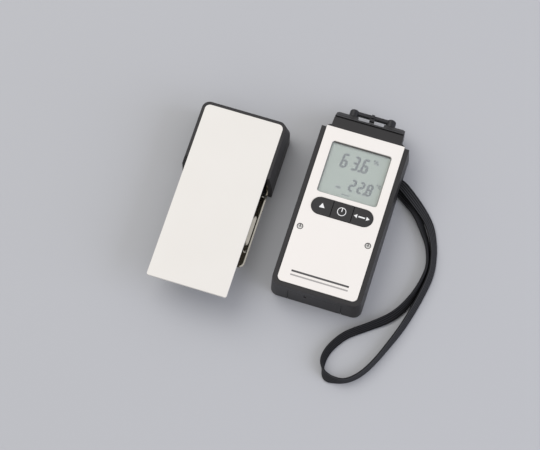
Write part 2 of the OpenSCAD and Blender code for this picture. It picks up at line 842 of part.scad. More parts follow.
// A floor panel with short side tongues and the middle of the case's lower end wall
module battery_door() {
    narrow = door_w / 2 - tongue_w;
    wide_y0 = tongue_y[0] + tongue_l + door_travel;
    color("#3c3a3a") in_meter() difference() {
        union() {
            block(-narrow, narrow, 0, door_l, 0, door_t);
            block(-door_w / 2, door_w / 2, wide_y0, tongue_y[1] - 0.5, 0, door_t);
            for (y = tongue_y) block(-door_w / 2, door_w / 2, y, y + tongue_l, lip_t + 0.1, door_t);
            block(-door_w / 2, door_w / 2, 0, foot_w - 0.15, 0, door_end_h);
        }
        // Lower edge bevelled like the case's
        across_x(meter_w) polygon([
            [-1, -1], [bottom_bevel, -1], [bottom_bevel, 0], [0, bottom_bevel], [-1, bottom_bevel]
        ]);
        // Thumb notch in the end wall
        translate([-5, 0.4, door_end_h - 2.4]) rotate([90, 0, 0]) cylinder(r = 0.9, h = 2);
        // Grip grooves across the panel
        for (k = [0 : 3]) block(-6, 6, 12 + 2 * k, 12.8 + 2 * k, -1, 0.4);
    }
}

// Two cells, the left one with its contact up, the right one with its contact down
module battery_cells() {
    nub_l = 0.8;
    color("#5f7f4f") in_meter() for (side = [-1, 1]) {
        low = side < 0 ? bay_y0 + contact_t + spring_l : bay_y0 + contact_t;
        body_y = side < 0 ? low : low + nub_l;
        nub_y = side < 0 ? low + cell_l - nub_l - eps : low;
        translate([side * cell_pitch / 2, 0, cell_z]) rotate([-90, 0, 0]) {
            translate([0, 0, body_y]) cylinder(r = cell_r, h = cell_l - nub_l);
            translate([0, 0, nub_y]) cylinder(r = 1.9, h = nub_l + eps);
        }
    }
}

// One tube of a coiled spring as a closed solid along +Z, from 0 to length
module coil(radius, wire, length, turns) {
    steps = 14;
    sides = 6;
    count = round(turns * steps);
    rise = length - wire;
    rings = [for (k = [0 : count]) let (a = 360 * k / steps)
        [for (s = [0 : sides - 1]) let (b = 360 * s / sides, r = radius + wire / 2 * cos(b))
            [r * cos(a), r * sin(a), wire / 2 + rise * k / count + wire / 2 * sin(b)]]];
    points = [for (ring = rings) for (p = ring) p];
    side_faces = [for (k = [0 : count - 1], s = [0 : sides - 1]) let (n = (s + 1) % sides)
        each [
            [k * sides + s, k * sides + n, (k + 1) * sides + n],
            [k * sides + s, (k + 1) * sides + n, (k + 1) * sides + s]
        ]];
    start_face = [for (s = [0 : sides - 1]) sides - 1 - s];
    end_face = [for (s = [0 : sides - 1]) count * sides + s];
    polyhedron(points, concat([start_face], side_faces, [end_face]));
}

module battery_springs() {
    gap = 0.02;
    color("#c6c6c2") in_meter() for (side = [-1, 1]) {
        y = side < 0 ? bay_y0 + contact_t + gap : bay_y1 - contact_t - spring_l + gap;
        translate([side * cell_pitch / 2, y, cell_z]) rotate([-90, 0, 0])
            coil(spring_r, spring_wire, spring_l - 2 * gap, 4);
    }
}

module battery_contacts() {
    plate = 8;
    color("#c6c6c2") in_meter() {
        for (side = [-1, 1]) {
            x = side * cell_pitch / 2;
            block(x - plate / 2, x + plate / 2, bay_y0, bay_y0 + contact_t,
                cell_z - plate / 2, cell_z + plate / 2);
        }
        block(-cell_pitch / 2 - plate / 2, cell_pitch / 2 + plate / 2, bay_y1 - contact_t, bay_y1,
            cell_z - plate / 2, cell_z + plate / 2);
    }
}

module strap_bar() {
    end_gap = 0.05;
    color("#9a9a9c") in_meter() translate([bar_x, slot_mid_y - slot_l / 2 - bar_end + end_gap, bar_z])
        rotate([-90, 0, 0]) cylinder(r = bar_r, h = slot_l + 2 * (bar_end - end_gap));
}

// Route of the strap's middle line: across and along from the bar, height above the floor, and the
// webbing's roll. It goes over the bar, out and round the loop, turns over once, and comes back under it.
strap_route = [
    [0, 1.7, 0, 0],
    [3.2, 1.4, -0.1, 0],
    [7.8, -1.5, 5, 0],
    [14.1, -6.1, 3.6, 8],
    [19.4, -10.5, 2.2, 24],
    [23.2, -15.1, 2.4, 34],
    [26.2, -20.8, 2.4, 44],
    [28.7, -27.5, 2.5, 54],
    [30.3, -35.9, 2.5, 58],
    [30.3, -42.6, 2.5, 58],
    [29.1, -51, 2.5, 60],
    [26.9, -61.4, 2.5, 60],
    [24.3, -71.1, 2.6, 64],
    [21, -80.3, 2.6, 70],
    [17, -90.2, 2.7, 76],
    [13.1, -97.6, 2.7, 78],
    [8.9, -102.7, 2.7, 81],
    [4.5, -105.6, 2.7, 84],
    [-0.3, -106.5, 2.6, 70],
    [-3.8, -106.1, 2.5, 56],
    [-6.5, -103.6, 2.7, 86],
    [-8, -98.7, 2.6, 116],
    [-7.2, -93.1, 2.5, 123],
    [-4.4, -87.4, 2.5, 126],
    [-0.1, -81.9, 2.5, 125],
    [8.3, -75.2, 2.4, 126],
    [15.8, -68.9, 2.2, 140],
    [20.5, -63.3, 2.3, 136],
    [24.1, -56.3, 2.5, 126],
    [26.4, -48.9, 2.7, 113],
    [27.7, -40.4, 2.7, 104],
    [27.4, -33.8, 2.6, 106],
    [24.9, -25.8, 2.6, 116],
    [20.9, -19.1, 2.4, 128],
    [16.8, -13.4, 2.3, 135],
    [12.9, -8.8, 1.9, 148],
    [8.1, -4.6, 1.3, 175],
    [3.4, -1.9, -0.3, 180],
    [0, -1.7, 0, 180]
];
// Two points at each end are heights from the bar instead of from the floor
strap_turn_r = bar_r + strap_t / 2 + 0.1;
strap_path = [for (k = [0 : len(strap_route) - 1]) let (
        p = strap_route[k], last = len(strap_route) - 1,
        z = k < 2 ? bar_z + strap_turn_r + p[2] : k > last - 2 ? bar_z - strap_turn_r + p[2] : p[2]
    ) [bar_x + p[0], slot_mid_y + p[1], z, p[3]]];

// A smooth curve through the route's points, two steps to each stretch
function curve(a, b, c, d, t) =
    0.5 * (2 * b + (c - a) * t + (2 * a - 5 * b + 4 * c - d) * t * t + (3 * b - a - 3 * c + d) * t * t * t);
strap_steps = 2;
strap_line = let (n = len(strap_path) - 1)
    [for (k = [0 : n - 1], s = [0 : strap_steps - 1])
        curve(strap_path[max(k - 1, 0)], strap_path[k], strap_path[k + 1], strap_path[min(k + 2, n)],
            s / strap_steps), strap_path[n]];

// The turn round the back of the bar: angle from the top, and how far the webbing has moved along the bar
strap_back = [[35, 1.6, 1], [75, 1, 1], [105, -1, -1], [145, -1.6, -1]];
function back_point(a, y) = [bar_x - strap_turn_r * sin(a), slot_mid_y + y, bar_z + strap_turn_r * cos(a)];

function unit(v) = v / norm(v);

// Cross-section of the webbing: width across, thickness up, corners taken off
strap_section = let (w = strap_w / 2, t = strap_t / 2, c = strap_t / 4)
    [[w, -c], [w, c], [w - c, t], [c - w, t], [-w, c], [-w, -c], [c - w, -t], [w - c, -t]];

function strap_ring(p, dir, roll) =
    let (across = unit(cross(dir, [0, 0, 1])), up = cross(across, dir))
    [for (q = strap_section)
        p + across * (q[0] * cos(roll) - q[1] * sin(roll)) + up * (q[0] * sin(roll) + q[1] * cos(roll))];

function flat3(p) = [p[0], p[1], p[2]];

module wrist_strap() {
    sides = len(strap_section);
    n = len(strap_line) - 1;
    over = [for (k = [1, 0]) let (b = strap_back[k], a = b[0])
        strap_ring(back_point(a, b[1]), [cos(a), 0, sin(a)], 0)];
    route = [for (k = [0 : n]) let (
            dir = k == 0 ? [1, 0, 0] : k == n ? [-1, 0, 0]
                : unit(flat3(strap_line[min(k + 1, n)]) - flat3(strap_line[max(k - 1, 0)]))
        ) strap_ring(flat3(strap_line[k]), dir, strap_line[k][3])];
    under = [for (k = [3, 2]) let (b = strap_back[k], a = b[0])
        strap_ring(back_point(a, b[1]), [cos(a), 0, sin(a)], 180)];
    rings = concat(over, route, under);
    count = len(rings);
    // The loop closes on itself half a turn round, so the last ring meets the first one shifted by half
    faces = [for (k = [0 : count - 1], s = [0 : sides - 1]) let (
            next = (k + 1) % count, shift = k == count - 1 ? sides / 2 : 0,
            a = k * sides + s, b = k * sides + (s + 1) % sides,
            c = next * sides + (s + 1 + shift) % sides, d = next * sides + (s + shift) % sides
        ) each [[a, b, c], [a, c, d]]];
    color("#26272b") in_meter() polyhedron([for (ring = rings) for (p = ring) p], faces, convexity = 10);
}

// One level of the shell's outside: rounded far corners, square open end
module shell_level(w, top_y, z, t) {
    translate([0, 0, z]) linear_extrude(t) translate([0, top_y]) mirror([0, 1])
        tab_outline(w, top_y - shell_end_y + 2, shell_corner_r);
}

module cover_shell() {
    mid_z = cover_h / 2;
    mid_flare = shell_flare + 0.1;
    recess_top = shield_l + 0.05;
    inside_w = 2 * shell_wall_top;
    color("#3a3839") in_cover() difference() {
        union() {
            hull($fn = 32) {
                shell_level(shell_top_w, shell_top_y, cover_h - eps, eps);
                shell_level(shell_top_w + 2 * mid_flare, shell_top_y + mid_flare, mid_z, eps);
            }
            hull($fn = 32) {
                shell_level(shell_top_w + 2 * mid_flare, shell_top_y + mid_flare, mid_z, eps);
                shell_level(shell_w, shell_top_y + shell_flare, 0, eps);
            }
        }
        // Open end, leaning back towards its top
        across_x(shell_w + 2) polygon([
            [shell_end_y - 5, -1], [shell_end_y, -1], [shell_end_y, 0], [shell_end_y + shell_lean, cover_h],
            [shell_end_y + shell_lean, cover_h + 1], [shell_end_y - 5, cover_h + 1]
        ]);
        // Pocket for the sensor head
        block(-inside_w / 2, inside_w / 2, shell_end_y - 1, shell_top_y - 2,
            clip_t + shell_floor_t, shield_z - ledge_t);
        // Between the ledges under the shield plate
        block(-shield_w / 2 + ledge_reach, shield_w / 2 - ledge_reach, shell_end_y - 1, shell_top_y - 3.4,
            shield_z - ledge_t - 1, cover_h + 1);
        block(-inside_w / 2, inside_w / 2, shell_end_y - 1, shell_end_y + shell_lean + ledge_start,
            clip_t + shell_floor_t, shield_z);
        // Seat of the shield plate
        translate([0, recess_top, shield_z]) mirror([0, 1]) linear_extrude(shield_t + 1)
            tab_outline(shield_w + 0.1, shell_l + 4, shield_corner_r);
        // Seat of the clip plate
        block(-clip_w / 2 - 0.1, clip_w / 2 + 0.1, shell_end_y - 2, clip_y1 + 0.1, -1, clip_t);
        for (side = [-1, 1]) {
            translate([side * rivet_pitch / 2, rivet_y, 0]) post(0.9, -1, clip_t + shell_floor_t + 1);
            // Slot for a flange of the clip plate
            outer = side * (clip_w / 2 + seat_gap);
            inner = side * (clip_w / 2 - clip_t - seat_gap);
            block(min(outer, inner), max(outer, inner),
                shell_end_y - 1, flange_y + flange_l + shell_lean + seat_gap, -1, flange_h + seat_gap);
        }
    }
}

module shield_plate() {
    free_corner_r = 0.9;
    color("#ebe7e0") in_cover() translate([0, 0, shield_z]) linear_extrude(shield_t) {
        tab_outline(shield_w, shield_l / 2, free_corner_r);
        translate([0, shield_l]) mirror([0, 1]) tab_outline(shield_w, shield_l / 2 + eps, shield_corner_r);
    }
}

// A flat field with four rounded corners, sloped along its edges
module sloped_field(w, y0, y1, z, h, slope) {
    hull($fn = 32) for (level = [0, 1]) translate([0, (y0 + y1) / 2, z + level * h])
        linear_extrude(eps)
            round_outline(w - 2 * level * slope, y1 - y0 - 2 * level * slope, 2.5 - 1.5 * level);
}

// The clip plate's body, its free edges pressed down a little over a narrow band
module clip_body() {
    body_l = clip_y1 - clip_short;
    hull($fn = 32) {
        translate([0, clip_short, 0]) linear_extrude(clip_t - edge_drop) tab_outline(clip_w, body_l, clip_corner_r);
        translate([0, clip_short + edge_band, 0]) linear_extrude(clip_t)
            tab_outline(clip_w - 2 * edge_band, body_l - edge_band, clip_corner_r - edge_band);
    }
}

// Sheet metal plate with a pressed field, small raised bumps that grip the meter's back, and two flanges
// that stand inside the shell's side walls
module clip_plate() {
    bump_x = clip_w / 2 - 1.9;
    lean = shell_lean * flange_h / cover_h;
    color("#c9c9cc") in_cover() difference() {
        union() {
            clip_body();
            sloped_field(clip_w - 2 * field_edge, field_y[0], field_y[1], clip_t - eps, field_h, field_slope);
            for (side = [-1, 1], y = bump_y) translate([side * bump_x, y, clip_t - eps])
                cylinder(r1 = bump_r, r2 = bump_r / 2, h = bump_h);
            for (side = [-1, 1]) translate([side * (clip_w - clip_t) / 2, flange_y, 0]) across_x(clip_t) polygon([
                [0, 0], [flange_l + lean, 0], [flange_l + lean, flange_h], [1 + lean, flange_h], [lean, flange_h - 1]
            ]);
        }
        for (side = [-1, 1]) translate([side * rivet_pitch / 2, rivet_y, 0]) post(0.9, -1, clip_t + 1);
    }
}

module clip_rivets() {
    color("#a9a9ad") in_cover() for (side = [-1, 1]) translate([side * rivet_pitch / 2, rivet_y, 0]) {
        post(0.85, 0, clip_t + shell_floor_t + eps);
        post(rivet_r, clip_t + shell_floor_t, clip_t + shell_floor_t + 0.6);
    }
}

rear_case();
front_case();
face_plate();
display_window();
display_glass();
display_connectors();
key_up();
key_power();
key_mode();
key_sheet();
snap_domes();
main_board();
measuring_chip();
board_components();
board_screws();
sensor_board();
sensor_header();
humidity_sensor();
thermistor();
sensor_guard();
face_screws();
case_screws();
battery_door();
battery_cells();
battery_springs();
battery_contacts();
strap_bar();
wrist_strap();
cover_shell();
shield_plate();
clip_plate();
clip_rivets();
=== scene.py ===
import math

import bmesh
import bpy
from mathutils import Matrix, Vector


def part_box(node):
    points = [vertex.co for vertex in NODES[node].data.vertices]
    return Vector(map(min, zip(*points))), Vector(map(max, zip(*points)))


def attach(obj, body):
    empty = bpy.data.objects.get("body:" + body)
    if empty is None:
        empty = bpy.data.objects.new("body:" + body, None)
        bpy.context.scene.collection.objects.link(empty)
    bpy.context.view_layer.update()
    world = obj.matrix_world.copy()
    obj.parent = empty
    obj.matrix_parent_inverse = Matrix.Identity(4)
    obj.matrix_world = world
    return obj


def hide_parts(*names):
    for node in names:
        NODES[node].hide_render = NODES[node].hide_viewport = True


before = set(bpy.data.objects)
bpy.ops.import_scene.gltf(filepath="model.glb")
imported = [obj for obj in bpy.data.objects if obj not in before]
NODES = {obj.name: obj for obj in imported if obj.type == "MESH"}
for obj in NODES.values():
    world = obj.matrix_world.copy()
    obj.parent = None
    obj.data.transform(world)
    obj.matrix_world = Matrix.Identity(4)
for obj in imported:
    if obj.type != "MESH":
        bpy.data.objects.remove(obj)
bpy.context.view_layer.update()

# Pocket thermo-hygrometer with a wrist strap, its slip-on cover beside it: the finishes, the strap's
# webbing, the display's segments, the printed marks and the marks of painted shade, round the imported
# solids. Lengths are in metres, and numbers in millimetres are turned into metres by MM.
MM = 0.001


# Places

# The middle of the face plate's top, and the heights that the small pieces lie on
plate_low, plate_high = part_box("face_plate")
PLATE_LENGTH = 86.7 * MM
PLATE_X = (plate_low.x + plate_high.x) / 2
PLATE_Y = plate_low.y + PLATE_LENGTH / 2
PLATE_Z = plate_high.z
GLASS_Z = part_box("display_glass")[1].z
WINDOW_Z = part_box("display_window")[1].z
KEY_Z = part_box("key_power")[1].z
BAR_LOW, BAR_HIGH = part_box("strap_bar")

# The strap's webbing, in millimetres, and the number of ribs across it
STRAP_WIDTH = 5.0
STRAP_THICKNESS = 1.2
STRAP_RIBS = 4


def on_plate(x, y, z):
    """A place given in millimetres from the middle of the face plate, at the height z in metres."""
    return Vector((PLATE_X + x * MM, PLATE_Y + y * MM, z))


# Camera: it looks down at about 70 degrees from the lower end of the meter, turned 17.4 degrees, at a
# point to the left of the face plate's middle

LOOK_AT = on_plate(-32, -17.2, PLATE_Z)
TURN = math.radians(17.4)
LOOK_DOWN = math.radians(69.8)
CAMERA_DISTANCE = 0.9956
FOCAL_LENGTH = 133.33
SENSOR_WIDTH = 36

level = math.cos(LOOK_DOWN)
away = Vector((math.sin(TURN) * level, -math.cos(TURN) * level, math.sin(LOOK_DOWN)))
lens = bpy.data.cameras.new("camera")
lens.sensor_width = SENSOR_WIDTH
lens.sensor_fit = "HORIZONTAL"
lens.lens = FOCAL_LENGTH
camera = bpy.data.objects.new("camera", lens)
camera.location = LOOK_AT + away * CAMERA_DISTANCE
camera.rotation_mode = "QUATERNION"
camera.rotation_quaternion = (-away).to_track_quat("-Z", "Y")
bpy.context.scene.collection.objects.link(camera)
bpy.context.scene.camera = camera


# Shader maths

class Value:
    """An output socket. Sums, products and comparisons of it add Math nodes."""

    def __init__(self, finish, out):
        self.finish = finish
        self.out = out

    def math(self, operation, *values, clamp=False):
        settings = {"operation": operation, "use_clamp": clamp}
        return self.finish.add("Math", settings, dict(enumerate(values)))

    def __add__(self, other):
        return self.math("ADD", self, other)

    __radd__ = __add__

    def __sub__(self, other):
        return self.math("SUBTRACT", self, other)

    def __rsub__(self, other):
        return self.math("SUBTRACT", other, self)

    def __mul__(self, other):
        return self.math("MULTIPLY", self, other)

    __rmul__ = __mul__

    def __gt__(self, other):
        return self.math("GREATER_THAN", self, other)

    def __lt__(self, other):
        return self.math("LESS_THAN", self, other)

    def sine(self):
        return self.math("SINE", self)

    def clamped(self):
        return self.math("ADD", self, 0.0, clamp=True)


class Finish:
    """One material. add() makes any node: its settings first, then its sockets' values or links."""

    def __init__(self, name, **constants):
        self.material = bpy.data.materials.new(name)
        self.material.use_nodes = True
        self.tree = self.material.node_tree
        self.shader = self.tree.nodes["Principled BSDF"]
        self.put(**constants)

    def put(self, **sockets):
        """Sets or links the shader's sockets: Base_Color stands for Base Color."""
        for name, value in sockets.items():
            self.feed(self.shader.inputs[name.replace("_", " ")], value)

    def feed(self, socket, value):
        if isinstance(value, Value):
            self.tree.links.new(value.out, socket)
        elif socket.type == "RGBA" and len(value) == 3:
            socket.default_value = (*value, 1)
        else:
            socket.default_value = value

    def add(self, kind, settings=None, sockets=None, out=0):
        node = self.tree.nodes.new("ShaderNode" + kind)
        for name, value in (settings or {}).items():
            setattr(node, name, value)
        for name, value in (sockets or {}).items():
            self.feed(node.inputs[name], value)
        return Value(self, node.outputs[out])

    def place(self):
        """Object coordinates, in metres."""
        return self.add("TexCoord", out="Object")

    def part(self, vector, axis):
        """One coordinate of a vector: 0 for x, 1 for y, 2 for z."""
        return self.add("SeparateXYZ", None, {0: vector}, out=axis)

    def noise(self, grain, detail=2.0, roughness=0.5, vector=None):
        """Noise from 0 to 1 whose grain is that many metres wide."""
        sockets = {"Vector": vector or self.place(), "Scale": 1 / grain}
        return self.add("TexNoise", None, {**sockets, "Detail": detail, "Roughness": roughness})

    def waves(self, value, pitch):
        """A sine wave of the value, from -1 to 1, that repeats at that pitch."""
        return (value * (2 * math.pi / pitch)).sine()

    def mix(self, factor, a, b):
        """Colour a where the factor is 0, b where it is 1."""
        return self.add("Mix", {"data_type": "RGBA"}, {0: factor, 6: a, 7: b}, out=2)

    def between(self, value, low, high):
        """0 where value is at low or less, 1 at high or more."""
        return self.add("MapRange", None, {"Value": value, "From Min": low, "From Max": high})

    def normal(self):
        return self.add("NewGeometry", out="Normal")

    def rounded(self, radius):
        """The surface's normal with its sharp edges rounded."""
        return self.add("Bevel", {"samples": 6}, {"Radius": radius})

    def edges(self, rounded):
        """0 on flat faces, up to 1 along the rounded edges."""
        pair = {0: rounded, 1: self.normal()}
        alike = self.add("VectorMath", {"operation": "DOT_PRODUCT"}, pair, out="Value")
        return self.between(alike, 0.995, 0.85)

    def bump(self, height, depth, normal=None):
        """Pits and ridges that many metres deep, on the given normal or the surface's own."""
        sockets = {"Height": height, "Distance": depth, "Strength": 1.0}
        if normal is not None:
            sockets["Normal"] = normal
        return self.add("Bump", None, sockets)


# Finishes

# How much paler the painted highlight makes the edges of moulded plastic
EDGE_HIGHLIGHT_GAIN = 1.8
# Colour of the plates' faces that point down
PLATE_UNDERSIDE_TONE = (0.16, 0.145, 0.115)


def darker(colour, share):
    return tuple(c * share for c in colour)


def moulded(name, colour, dull, roughness, depth=0.012 * MM, edge=0.25 * MM):
    """Moulded plastic: fine spark-eroded grain, uneven gloss, and slightly polished edges whose colour a
    painted highlight makes paler.
    """
    f = Finish(name, Specular_IOR_Level=0.3)
    soft = f.rounded(edge)
    cloud = f.noise(14 * MM, 3)
    worn_and_lit_edges = f.edges(soft)
    edge_highlight = tuple(c * EDGE_HIGHLIGHT_GAIN for c in colour)
    # Painted highlight: the colour turns paler along the edges; the lower roughness there is their polish
    f.put(Base_Color=f.mix(worn_and_lit_edges * 0.5, f.mix(cloud, colour, dull), edge_highlight))
    f.put(Roughness=f.between(cloud, 0.2, 0.8) * 0.08 + (roughness - 0.04) - worn_and_lit_edges * 0.08)
    f.put(Normal=f.bump(f.noise(0.35 * MM, 3, 0.6), depth, soft))
    return f.material


def plate_finish(name, colour, warm, roughness=0.32):
    """Smooth off-white plastic sheet: faint warm clouds, a very fine ripple and hairline scuffs. Faces
    that point down are coloured much darker."""
    f = Finish(name, Specular_IOR_Level=0.5)
    soft = f.rounded(0.15 * MM)
    cloud = f.noise(26 * MM, 2)
    drawn_out = {"Vector": f.place(), "Rotation": (0, 0, 0.5), "Scale": (1, 14, 1)}
    scuff = f.between(f.noise(5 * MM, 4, 0.7, f.add("Mapping", None, drawn_out)), 0.62, 0.75)
    underside = f.part(f.normal(), 2) < -0.5
    f.put(Base_Color=f.mix(underside, f.mix(cloud, colour, warm), PLATE_UNDERSIDE_TONE))
    f.put(Roughness=cloud * 0.06 + scuff * 0.05 + (roughness - 0.03))
    f.put(Normal=f.bump(f.noise(0.9 * MM, 2), 0.002 * MM, soft))
    return f.material


def metal(name, colour, roughness, depth=0.002 * MM, along=(1, 1, 1)):
    """Plain metal. A small scale along one axis draws its grain out to lines."""
    f = Finish(name, Metallic=1.0)
    soft = f.rounded(0.1 * MM)
    drawn = f.add("Mapping", None, {"Vector": f.place(), "Scale": along})
    lines = f.noise(0.25 * MM, 3, 0.6, drawn)
    f.put(Base_Color=f.mix(f.noise(6 * MM, 2), colour, darker(colour, 0.82)))
    f.put(Roughness=lines * 0.12 + (roughness - 0.06))
    f.put(Normal=f.bump(lines, depth, soft))
    return f.material


def clear_finish(name):
    """Clear flat acrylic: nearly all light goes through, with a faint ripple in its gloss."""
    f = Finish(name, Base_Color=(0.93, 0.97, 0.95), Alpha=0.12)
    f.put(Roughness=0.04, IOR=1.45, Specular_IOR_Level=0.5)
    f.put(Normal=f.bump(f.noise(8 * MM, 1), 0.002 * MM))
    return f.material


def display_finish(name, light, deep):
    """The grey-green reflector of the display: pearly grain, a little deeper in its clouds."""
    f = Finish(name, Roughness=0.42, Specular_IOR_Level=0.35)
    pearl = f.noise(0.12 * MM, 2)
    cloud = f.noise(18 * MM, 2)
    f.put(Base_Color=f.mix(pearl * 0.35 + cloud * 0.5, light, deep))
    f.put(Normal=f.bump(pearl, 0.004 * MM))
    return f.material


def print_finish(name, colour, roughness=0.5):
    """Printed ink, a display segment, or a mark of painted shade: a fine grain that shifts the colour a
    little towards grey.
    """
    f = Finish(name)
    speck = f.noise(0.2 * MM, 3)
    greyer = tuple(c + (0.5 - c) * 0.12 for c in colour)
    f.put(Base_Color=f.mix(speck, colour, greyer), Roughness=speck * 0.1 + (roughness - 0.05))
    f.put(Normal=f.bump(speck, 0.004 * MM))
    return f.material


def rubber_finish(name, colour, roughness=0.7):
    """Rubber, or a ceramic where it is less rough: soft clouds and a fine grain."""
    f = Finish(name, Specular_IOR_Level=0.3)
    cloud = f.noise(3 * MM, 3)
    f.put(Base_Color=f.mix(cloud, colour, darker(colour, 0.75)))
    f.put(Roughness=cloud * 0.1 + (roughness - 0.05))
    f.put(Normal=f.bump(f.noise(0.15 * MM, 3), 0.01 * MM, f.rounded(0.1 * MM)))
    return f.material


def layered_finish(name, dark, pale):
    """Conductive rubber strip: thin dark and pale layers along its length."""
    f = Finish(name, Roughness=0.6)
    layer = f.waves(f.part(f.place(), 1), 0.25 * MM) * 0.5 + 0.5
    f.put(Base_Color=f.mix(layer, dark, pale))
    f.put(Normal=f.bump(layer, 0.01 * MM))
    return f.material


def board_finish(name, lacquer, trace_colour):
    """Lacquered board: copper traces under the lacquer show as paler lines."""
    f = Finish(name, Specular_IOR_Level=0.6, Coat_Weight=0.3, Coat_Roughness=0.15)
    place = f.place()
    wobble = f.noise(9 * MM, 1) * (6 * MM)
    along = f.waves(f.part(place, 0) + wobble, 1.3 * MM)
    across = f.waves(f.part(place, 1) + wobble, 1.7 * MM)
    area = f.between(f.noise(7 * MM, 1), 0.48, 0.52)
    trace = f.between(along * area + across * (1 - area), 0.3, 0.5)
    f.put(Base_Color=f.mix(trace, lacquer, trace_colour))
    f.put(Roughness=trace * 0.05 + 0.3)
    f.put(Normal=f.bump(trace, 0.02 * MM))
    return f.material


SLEEVE_GREEN = (0.02, 0.11, 0.06)
SLEEVE_BAND = (0.62, 0.55, 0.30)
CAN_STEEL = (0.55, 0.55, 0.56)


def cell_finish(name):
    """Battery jacket: plain green sleeve with a pale band at one end, and bare metal at both ends."""
    f = Finish(name, Metallic=0.35)
    y = f.part(f.place(), 1)
    low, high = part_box("battery_cells")
    band = f.between(y, high.y - 9.5 * MM, high.y - 9 * MM)
    cap = f.between(y, high.y - 1.4 * MM, high.y - 1.3 * MM)
    foot = f.between(y, low.y + 0.5 * MM, low.y + 0.4 * MM)
    sleeve = f.mix(band, SLEEVE_GREEN, SLEEVE_BAND)
    f.put(Base_Color=f.mix((cap + foot).clamped(), sleeve, CAN_STEEL))
    f.put(Roughness=f.noise(2 * MM, 2) * 0.1 + 0.25)
    f.put(Normal=f.bump(band + cap, 0.05 * MM))
    return f.material


THREAD_PITCH = 0.5 * MM
THREAD = (0.066, 0.067, 0.073)
# Thread colour on the loop's inner face, darker as painted shade
INNER_FACE_SHADE = (0.030, 0.030, 0.034)
# Colour of the hollows between the ribs: painted shade
RIB_HOLLOW_SHADE = (0.001, 0.001, 0.0013)


def webbing_finish(name):
    """Woven nylon webbing. The strap's own map runs across it, from rib to rib, and along it, in
    metres. The ribs are in the mesh; the painted shade in their hollows and the crossing threads are
    here. The loop's inner face, where the map starts at twice the number of ribs, is painted darker as
    shade."""
    f = Finish(name, Specular_IOR_Level=0.2)
    strap_map = f.add("UVMap", {"uv_map": "webbing"})
    across, along = f.part(strap_map, 0), f.part(strap_map, 1)
    crest = (across * (2 * math.pi) + math.pi / 2).sine() * 0.5 + 0.5
    slant = across * math.pi
    thread = (along * (2 * math.pi / THREAD_PITCH) + slant).sine() * 0.5 + 0.5
    fuzz = f.noise(0.25 * MM, 3, 0.7)
    # Painted shade: the hollows between the ribs are darkened nearly to black; the crossing threads and
    # the fuzz are the weave's own
    shade = (crest * (thread * 0.3 + 0.7) + fuzz * 0.2 - 0.15).clamped()
    # Painted shade: the loop's inner face gets a darker thread colour
    shaded_inner_face = across > 1.5 * STRAP_RIBS
    f.put(Base_Color=f.mix(shade, RIB_HOLLOW_SHADE, f.mix(shaded_inner_face, THREAD, INNER_FACE_SHADE)))
    f.put(Roughness=fuzz * 0.12 + 0.62)
    f.put(Normal=f.bump(thread * 0.7 + fuzz * 0.3, 0.05 * MM))
    return f.material


BLACK = (0.027, 0.0255, 0.0258)
BLACK_DULL = (0.0225, 0.0215, 0.0225)
case_plastic = moulded("case_plastic", BLACK, BLACK_DULL, 0.44)
cover_plastic = moulded("cover_plastic", BLACK, BLACK_DULL, 0.47)
guard_plastic = moulded("guard_plastic", (0.022, 0.022, 0.025), (0.018, 0.018, 0.021), 0.38)
key_plastic = moulded("key_plastic", (0.027, 0.026, 0.026), (0.022, 0.021, 0.022), 0.4,
                      depth=0.006 * MM)
chip_plastic = moulded("chip_plastic", (0.02, 0.02, 0.022), (0.03, 0.03, 0.032), 0.45,
                       edge=0.08 * MM)
face_white = plate_finish("face_white", (0.86, 0.825, 0.78), (0.84, 0.80, 0.75))
shield_white = plate_finish("shield_white", (0.79, 0.765, 0.715), (0.77, 0.74, 0.685))
clear_window = clear_finish("clear_window")
display_green = display_finish("display_green", (0.350, 0.404, 0.362), (0.300, 0.350, 0.308))
connector_rubber = layered_finish("connector_rubber", (0.05, 0.05, 0.05), (0.75, 0.45, 0.42))
key_rubber = rubber_finish("key_rubber", (0.30, 0.31, 0.32))
spring_steel = metal("spring_steel", (0.62, 0.61, 0.57), 0.3)
screw_steel = metal("screw_steel", (0.55, 0.55, 0.56), 0.34)
face_screw_steel = metal("face_screw_steel", (0.74, 0.73, 0.71), 0.5)
clip_steel = metal("clip_steel", (0.72, 0.68, 0.60), 0.13, depth=0.0006 * MM, along=(1, 0.08, 1))
pin_brass = metal("pin_brass", (0.80, 0.60, 0.26), 0.25)
sensor_ceramic = rubber_finish("sensor_ceramic", (0.42, 0.36, 0.24), 0.35)
circuit_board = board_finish("circuit_board", (0.012, 0.075, 0.028), (0.03, 0.15, 0.06))
dark_board = board_finish("dark_board", (0.014, 0.015, 0.016), (0.026, 0.027, 0.028))
cell_jacket = cell_finish("cell_jacket")
webbing = webbing_finish("webbing")
print_dark = print_finish("print_dark", (0.03, 0.028, 0.028))
print_grey = print_finish("print_grey", (0.37, 0.35, 0.335))
print_white = print_finish("print_white", (0.86, 0.86, 0.85))
segment_dark = print_finish("segment_dark", (0.034, 0.052, 0.070), 0.4)
segment_faint = print_finish("segment_faint", (0.13, 0.155, 0.16), 0.4)
# Painted shadow along the display window's upper edge
window_shade = print_finish("window_shade", (0.045, 0.042, 0.036))
# Painted shade for the face screws' gaps and slots
screw_shade = print_finish("screw_shade", (0.07, 0.065, 0.06))
# Painted shade along the display window's other edges
window_side_shade = print_finish("window_side_shade", (0.20, 0.21, 0.195))

